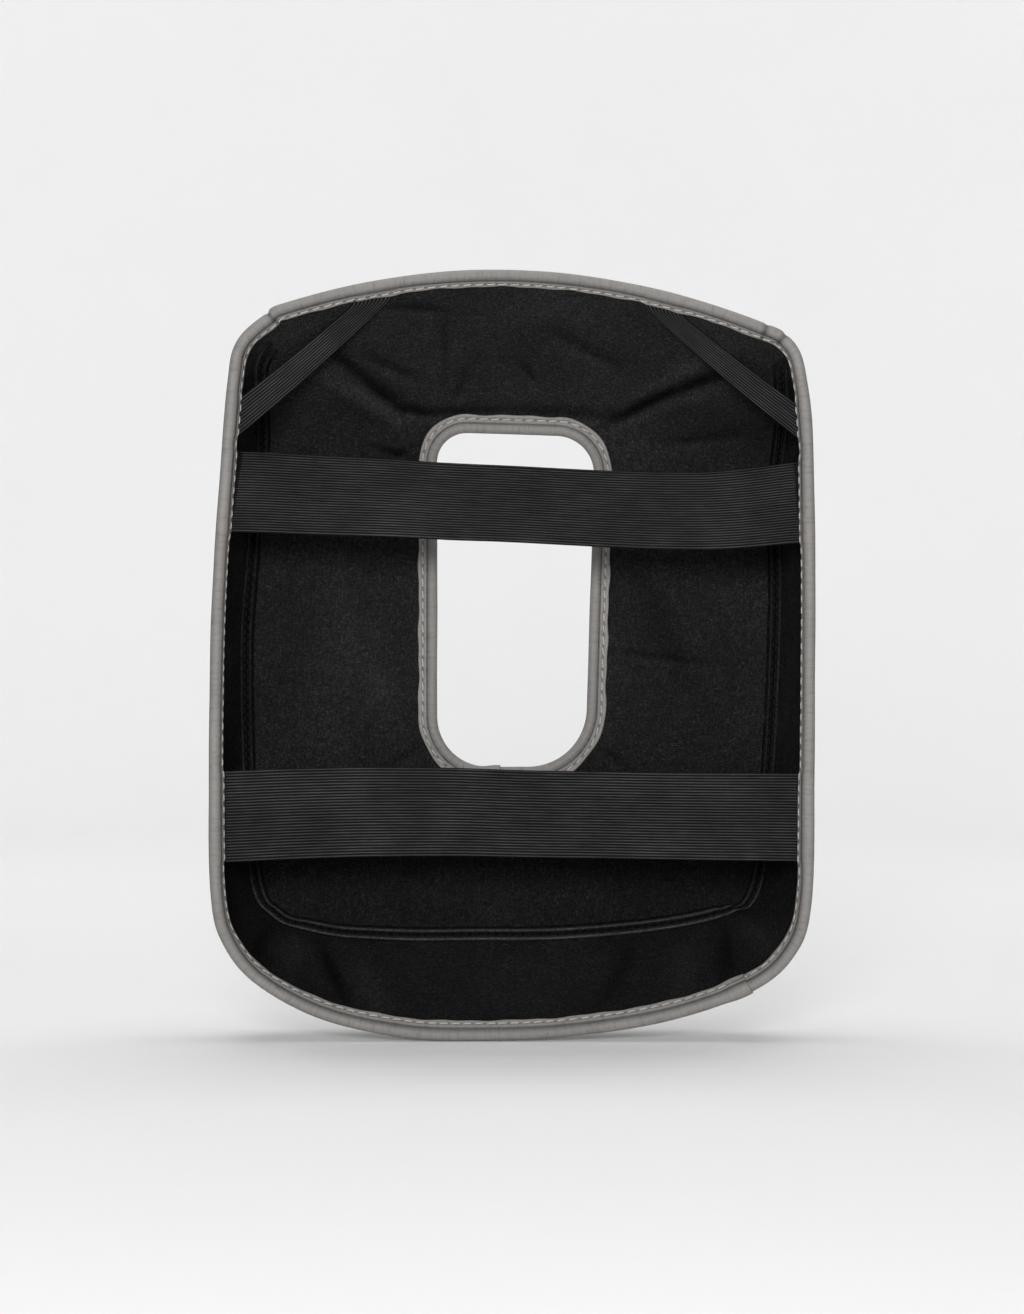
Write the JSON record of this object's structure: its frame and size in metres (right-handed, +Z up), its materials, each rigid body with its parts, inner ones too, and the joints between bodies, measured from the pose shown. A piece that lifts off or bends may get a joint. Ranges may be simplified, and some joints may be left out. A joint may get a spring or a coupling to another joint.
{
  "type": "back protector cover",
  "caption": "Slip-on back protector shell with felt lining, bound rim and window, and elastics across its open mouth.",
  "frame": {"origin": "foot of the mouth, in the middle of the shell, level with the foremost edge of the rim", "axes": "+Z up as worn, +Y into the pocket towards the back panel, +X to the right when looking into the mouth"},
  "size_m": [0.3315, 0.0799, 0.4242],
  "materials": {
    "grey_skin": "fine-grained grey artificial leather",
    "grey_binding": "smooth grey artificial leather strip",
    "black_felt": "matt needled felt",
    "black_elastic": "ribbed woven elastic",
    "pale_thread": "twisted polyester thread",
    "black_thread": "twisted polyester thread"
  },
  "bodies": {
    "root": {"outer_panel": "grey_skin", "outer_gusset": "grey_skin", "lining_panel": "black_felt", "lining_gusset": "black_felt", "seam_allowance": "black_felt", "seam_stitches_panel_side": "black_thread", "seam_stitches_gusset_side": "black_thread", "rim_binding": "grey_binding", "rim_binding_stitches": "pale_thread", "window_binding": "grey_binding", "window_binding_stitches": "pale_thread", "upper_elastic_left_end": "black_elastic", "upper_elastic_right_end": "black_elastic", "lower_elastic_left_end": "black_elastic", "lower_elastic_right_end": "black_elastic", "left_corner_elastic_top_end": "black_elastic", "left_corner_elastic_side_end": "black_elastic", "right_corner_elastic_top_end": "black_elastic", "right_corner_elastic_side_end": "black_elastic"},
    "upper_elastic": {"upper_elastic": "black_elastic"},
    "lower_elastic": {"lower_elastic": "black_elastic"},
    "left_corner_elastic": {"left_corner_elastic": "black_elastic"},
    "right_corner_elastic": {"right_corner_elastic": "black_elastic"}
  },
  "joints": [
    {"name": "upper_elastic_stretch", "type": "slide", "parent": "root", "child": "upper_elastic", "axis": [0, -1, 0], "range_m": [0, 0.04], "stiffness_N_per_m": 120},
    {"name": "lower_elastic_stretch", "type": "slide", "parent": "root", "child": "lower_elastic", "axis": [0, -1, 0], "range_m": [0, 0.04], "stiffness_N_per_m": 120},
    {"name": "left_corner_elastic_stretch", "type": "slide", "parent": "root", "child": "left_corner_elastic", "axis": [0, -1, 0], "range_m": [0, 0.018], "stiffness_N_per_m": 80},
    {"name": "right_corner_elastic_stretch", "type": "slide", "parent": "root", "child": "right_corner_elastic", "axis": [0, -1, 0], "range_m": [0, 0.018], "stiffness_N_per_m": 80}
  ]
}
